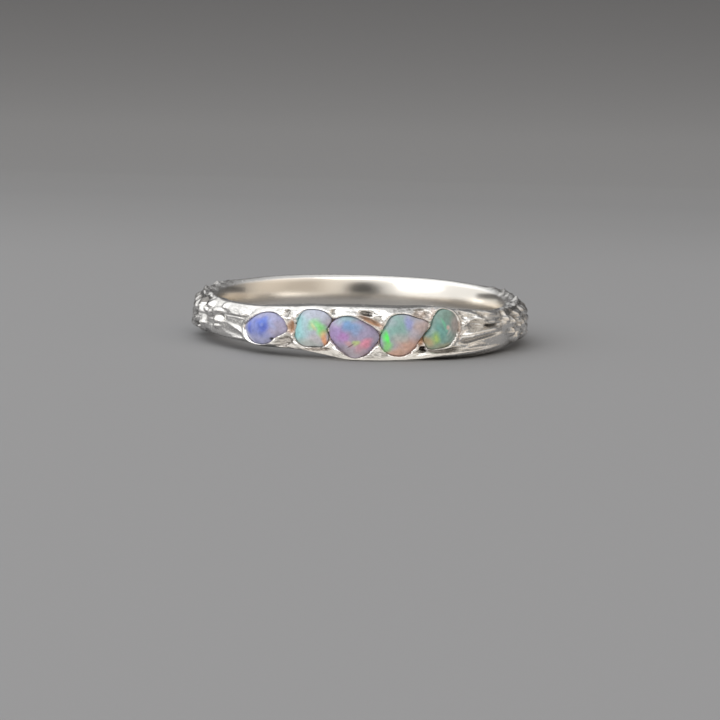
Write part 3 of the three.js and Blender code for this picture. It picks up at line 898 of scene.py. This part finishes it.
def bell(far, edge=0.0):
    """1 at the middle and 0 from 1 on: a soft hill, or with edge near 1 a flat one with steep sides."""
    return eased(np.clip((1 - far) / (1 - STEEPEST_BELL * edge), 0, 1))


def cap(far):
    """A half ball, 1 high at the middle and 0 from 1 on."""
    return np.sqrt(np.clip(1 - far * far, 0, 1))


def ground_noise(arc, height, size, level):
    """Smooth random hills of a size, from -1 to 1. Each level gives others."""
    points = zip(arc.ravel() / size, height.ravel() / size)
    return np.array([noise.noise(Vector((x, y, level))) for x, y in points]).reshape(arc.shape)


def patches_of(arc, height, size, level, middle, contrast, least=0):
    """Random patches of a size, from least to 1."""
    return np.clip(middle + contrast * ground_noise(arc, height, size, level), least, 1)


def placed_relief(arc, height):
    """The bumps and dents of RELIEF, and the painted shade in the dents, which grows with their depth."""
    rise = np.zeros_like(arc)
    painted_shade = np.zeros_like(arc)
    for *place, depth, crisp in RELIEF:
        form = bell(spread(arc, height, *place), crisp)
        rise += depth * MM * form
        # Painted shade in the dents, darker for deeper dents.
        painted_shade = np.maximum(painted_shade, min(1, -DENT_PAINTED_SHADE * depth) * form)
    return rise, painted_shade


def path_points(path):
    """A smooth line through the places of a path, on the unrolled face."""
    angle, up = np.array(path).T
    places = np.stack([np.radians(angle) * FACE_RADIUS, up * MM], axis=-1)
    ends = np.concatenate([2 * places[:1] - places[1:2], places, 2 * places[-1:] - places[-2:-1]])
    steps = np.linspace(0, 1, PATH_STEPS + 1)[:-1, None]
    line = []
    for a, b, c, d in zip(ends, ends[1:], ends[2:], ends[3:]):
        line.append(0.5 * (2 * b + (c - a) * steps + (2 * a - 5 * b + 4 * c - d) * steps ** 2
                           + (3 * b - a - 3 * c + d) * steps ** 3))
    return np.concatenate([*line, places[-1:]])


def ridge_form(arc, height, path, wide, edge):
    """A ridge's form at points of the face, from 0 to 1. It thins out at both ends."""
    line = path_points(path)
    reach = wide * MM
    near = (arc[:, 0] > line[:, 0].min() - reach) & (arc[:, 0] < line[:, 0].max() + reach)
    far, along = line_gap(arc[near], height[near], line)
    taper = np.clip(RIDGE_TAPER * np.minimum(along, 1 - along), THINNEST_END, 1)
    form = np.zeros_like(arc)
    form[near] = taper * bell(far / (reach * np.sqrt(taper)), edge)
    return form


def ridges_and_grooves(arc, height):
    rise = np.zeros_like(arc)
    painted_shade = np.zeros_like(arc)
    for path, wide, depth, crisp, shade in RIDGES:
        form = ridge_form(arc, height, path, wide, crisp)
        rise += depth * MM * form
        # Painted shade in the grooves.
        painted_shade = np.maximum(painted_shade, shade * form)
    return rise, painted_shade


def rough_patches(arc, height):
    """The sandy patches, with painted shade between their grains."""
    grains = ground_noise(arc, height, *GRAINS)
    between = np.clip(GRAIN_GAP - GRAIN_CONTRAST * grains, 0, 1)
    rise = np.zeros_like(arc)
    painted_shade = np.zeros_like(arc)
    for *place, grain, shade in ROUGH_PATCHES:
        patch = bell(spread(arc, height, *place), PATCH_EDGE)
        rise += 2 * grain * MM * patch * grains
        # Painted shade in the hollows between the grains.
        painted_shade = np.maximum(painted_shade, shade * patch * between)
    return rise, painted_shade


def single_nuggets(arc, height):
    """The nuggets of NUGGETS, with a line of painted shade low on each."""
    caps = np.zeros_like(arc)
    for angle, up, size, rise in NUGGETS:
        caps = np.maximum(caps, rise * MM * cap(spread(arc, height, angle, up, size, size, 0)))
    # A line of painted shade low on each nugget.
    line = np.clip(1 - np.abs(caps - NUGGET_LINE) / NUGGET_LINE_WIDTH, 0, 1)
    return caps, NUGGET_LINE_PAINTED_SHADE * line


def scattered_nuggets(arc, height, foot, top):
    """Round grains of melted silver all over the shoulders, with painted shade in the hollows between
    them.
    """
    dice = np.random.default_rng(NUGGET_SEED)
    caps = np.zeros_like(arc)
    for side in (-1, 1):
        for _ in range(NUGGETS_A_SIDE):
            angle = side * math.radians(dice.uniform(*NUGGET_ANGLES))
            size = dice.uniform(*NUGGET_SIZES)
            middle = foot + dice.uniform(*NUGGET_LEVELS) * (top - foot)
            near = np.abs(arc[:, 0] - angle * FACE_RADIUS) < size
            far = np.hypot(arc[near] - angle * FACE_RADIUS, height[near] - middle[near, None]) / size
            caps[near] = np.maximum(caps[near], size * cap(far))
    shoulder = at_angle(np.abs(arc / FACE_RADIUS), SHOULDERS)
    # Painted shade in the hollows between the nuggets.
    hollow = np.clip(1 - caps / HOLLOW_DEPTH, 0, 1)
    return shoulder * (caps - NUGGET_BED), HOLLOW_PAINTED_SHADE * shoulder * hollow


def casting_skin(arc, height, near):
    """The uneven skin of the casting: soft waves, and wrinkles with painted shade in their sharp creases.
    """
    waved = 0
    for size, depth, level in SKIN_WAVES:
        waved += depth * MM * ground_noise(arc, height, size * MM, level)
    wrinkled = 0
    creases = 0
    for size, depth, level in SKIN_WRINKLES:
        folds = np.abs(ground_noise(arc, height, size * MM, level))
        wrinkled += depth * MM * np.minimum(FOLD_STEEPNESS * folds, 1)
        # Painted shade in the sharp creases.
        creases = np.maximum(creases, np.clip(1 - folds / CREASE_WIDTH, 0, 1))
    patchy = patches_of(arc, height, *SKIN_PATCHES, middle=0.5, contrast=2.2)
    skin = waved + wrinkled * (SMOOTHEST_SKIN + (1 - SMOOTHEST_SKIN) * patchy)
    shown = at_angle(np.abs(arc / FACE_RADIUS), SKIN_SHARES) * np.clip(near / SKIN_START, 0, 1)
    return skin * shown, CREASE_PAINTED_SHADE * creases * patchy * shown


def lip_height(gap, arc, height):
    """The silver beside an opal: down into its seat, up over the lip's crest and out to the face."""
    uneven = ground_noise(arc, height, *LIP_HILLS)
    wide = (LIP_WIDTH + LIP_UNEVENNESS * uneven) * at_angle(arc / FACE_RADIUS, LIP_SHARES)
    inner = np.sin(np.clip(gap / LIP_CREST, 0, 1) * math.pi / 2)
    outer = 1 - eased(np.clip((gap - LIP_CREST) / wide, 0, 1))
    lip = LIP_RISE * np.where(gap < LIP_CREST, inner, outer)
    return lip + SEAT_FLOOR * eased(np.clip(-gap / SEAT_SLOPE, 0, 1))


def opal_shade_and_dirt_line(arc, height, gap):
    """The thin line of painted shade and dirt that follows an opal's edge, stronger here and fainter
    there.
    """
    line = np.clip(1 - np.abs(gap - LINE_PLACE) / LINE_WIDTH, 0, 1)
    return line * patches_of(arc, height, *LINE_PATCHES, middle=0.5, contrast=1.8, least=0.1)


def face_relief(arc, height, foot, top):
    """How far the cast face stands out of its plain curve, how much painted shade it has, and how stained
    it is.
    """
    near, next_near = np.sort([seat.gap(arc, height) for seat in seats.values()], axis=0)[:2]
    stain = np.zeros_like(arc)
    for *place, strength in STAINS:
        stain = np.maximum(stain, strength * bell(spread(arc, height, *place), STAIN_EDGE))
    rise = lip_height(near, arc, height)
    rise = np.where(rise > 0, rise * (1 - STAIN_HOLD * stain), rise)
    seam = eased(np.clip(1 - (np.maximum(near, 0) + next_near) / SEAM_WIDTH, 0, 1)) * (near > 0)
    rise -= SEAM_DEPTH * seam
    # The seam between two opals gets painted shade.
    painted_shade = SEAM_PAINTED_SHADE * seam
    # Each part adds its relief and the painted shade in its hollows.
    for added, painted_shade_part in (
        placed_relief(arc, height),
        ridges_and_grooves(arc, height),
        rough_patches(arc, height),
        single_nuggets(arc, height),
        scattered_nuggets(arc, height, foot, top),
        casting_skin(arc, height, near),
    ):
        rise += added
        painted_shade = np.maximum(painted_shade, painted_shade_part)
    line = opal_shade_and_dirt_line(arc, height, near)
    # Painted shade along each opal's edge, with a brown stain of dirt.
    painted_shade = np.maximum(painted_shade, LINE_PAINTED_SHADE * line)
    stain = np.maximum(stain, np.maximum(SEAM_STAIN * seam, LINE_STAIN * line))
    return rise, painted_shade, stain


def rim_rows(angle, hole_top, top, edge):
    """The band's top, from the hole out to the face, with the shoulders' nuggets running up on to it:
    radius and height."""
    share = np.linspace(0, 1, TOP_ROWS + 2)[None, 1:-1]
    radius = HOLE_EDGE + share * (edge[:, None] - HOLE_EDGE)
    rounding = at_angle(np.abs(angle), RIM_ROUNDING)[:, None] * MM
    height = hole_top[:, None] + (top - hole_top)[:, None] * share + rounding * 4 * share * (1 - share)
    arc = np.repeat(angle[:, None] * FACE_RADIUS, TOP_ROWS, axis=1)
    cobbles = patches_of(arc, radius, *COBBLES, middle=0.15, contrast=1)
    shoulder = at_angle(np.abs(angle), SHOULDERS)[:, None]
    return radius, height + COBBLE_RISE * cobbles * share * np.sqrt(shoulder)


def rounded(values):
    """The rows of closed sections, each drawn halfway to the mean of its two neighbours."""
    return 0.5 * values + 0.25 * (np.roll(values, 1, axis=1) + np.roll(values, -1, axis=1))


def band_piece():
    """A ring drawn section by section to the solid band's edges, with the face's relief on it. Each
    section goes up the hole, out over the top, down the face and back in."""
    bpy.ops.object.select_all(action="DESELECT")
    bpy.ops.mesh.primitive_torus_add(
        major_segments=BAND_COLUMNS, minor_segments=BAND_ROWS, major_radius=1, minor_radius=0.25
    )
    piece = bpy.context.object
    piece.name = "band_silver"
    x, y, z = read_points(piece.data).T
    column = np.round(np.arctan2(x, -y) / (2 * math.pi) * BAND_COLUMNS).astype(int) % BAND_COLUMNS
    row = np.round(np.arctan2(z, np.hypot(x, y) - 1) / (2 * math.pi) * BAND_ROWS).astype(int) % BAND_ROWS

    angle, foot, hole_top, top, edge = band_edges()
    plain, height, freedom = face_rows(foot, top, edge)
    arc = np.repeat(angle[:, None] * FACE_RADIUS, FACE_ROWS, axis=1)
    rise, painted_shade, stain = face_relief(arc, height, foot, top)
    parts = [
        hole_rows(foot, hole_top),
        rim_rows(angle, hole_top, top, edge),
        (plain + rise * freedom, height),
        foot_rows(foot, edge),
    ]
    radii, heights = (np.concatenate(part, axis=1) for part in zip(*parts))
    for _ in range(ROUNDINGS):
        radii = rounded(radii)
        heights = rounded(heights)
    arcs = np.repeat(angle[:, None] * FACE_RADIUS, BAND_ROWS, axis=1)
    write_points(piece.data, rolled(arcs, heights, radii)[column, row])

    off_face = [(0, 0), (HOLE_ROWS + TOP_ROWS, FOOT_ROWS)]
    inside = np.zeros_like(radii)
    inside[:, :HOLE_ROWS] = 1
    # The first layer holds the painted shade of hollows, creases, dents and gaps.
    paints = {"painted_shade": np.pad(painted_shade, off_face), "stain": np.pad(stain, off_face), "inside": inside}
    for label, values in paints.items():
        layer = piece.data.attributes.new(label, "FLOAT", "POINT")
        layer.data.foreach_set("value", np.clip(values, 0, 1)[column, row].astype(np.float32))
    outward_and_smooth()
    return piece


SILVER_COLOUR = (0.90, 0.885, 0.86, 1)
HOLE_COLOUR = (0.85, 0.81, 0.75, 1)
STAIN_COLOUR = (0.46, 0.25, 0.14, 1)
# Near black, for the painted shade in hollows, creases, dents and gaps.
PAINTED_SHADE_COLOUR = (0.07, 0.06, 0.05, 1)
# How metallic the surface still is under a full stain.
STAINED_METAL = 0.15
SCRATCH_SIZE = 0.11 * MM
SCRATCH_DETAIL = 6
SCRATCH_DEPTH = 0.04 * MM
SCRATCH_STRENGTH = 0.5
SILVER_ROUGHNESS = (0.12, 0.3)
HOLE_ROUGHNESS = 0.2


def silver_material():
    """Polished silver with faint scratches, painted black with shade in its hollows, and stained brown by
    the opals.
    """
    material, tree, surface = new_material("cast_silver")
    painted = {}
    for label in ("painted_shade", "stain", "inside"):
        reader = tree.nodes.new("ShaderNodeAttribute")
        reader.attribute_name = label
        painted[label] = reader.outputs["Fac"]
    colour = blended(tree, painted["inside"], SILVER_COLOUR, HOLE_COLOUR)
    colour = blended(tree, painted["stain"], colour, STAIN_COLOUR)
    # Painted shade: hollows, creases, dents, grooves and gaps are blended towards near black.
    colour = blended(tree, painted["painted_shade"], colour, PAINTED_SHADE_COLOUR)
    feed(tree, surface.inputs["Base Color"], colour)
    feed(tree, surface.inputs["Metallic"], graded(tree, painted["stain"], (0, 1), (1, STAINED_METAL)))

    scratches = speckle(tree, object_place(tree), SCRATCH_SIZE, SCRATCH_DETAIL).outputs[0]
    rough = graded(tree, scratches, NOISE_RANGE, SILVER_ROUGHNESS)
    even = blended(tree, painted["inside"], rough, HOLE_ROUGHNESS, kind="FLOAT")
    feed(tree, surface.inputs["Roughness"], even)
    bump = tree.nodes.new("ShaderNodeBump")
    bump.inputs["Distance"].default_value = SCRATCH_DEPTH
    feed(tree, bump.inputs["Strength"], graded(tree, painted["inside"], (0, 1), (SCRATCH_STRENGTH, 0)))
    feed(tree, bump.inputs["Height"], scratches)
    feed(tree, surface.inputs["Normal"], bump.outputs[0])
    return material


band = band_piece()
band.data.materials.append(silver_material())
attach(band, "root")
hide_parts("band")
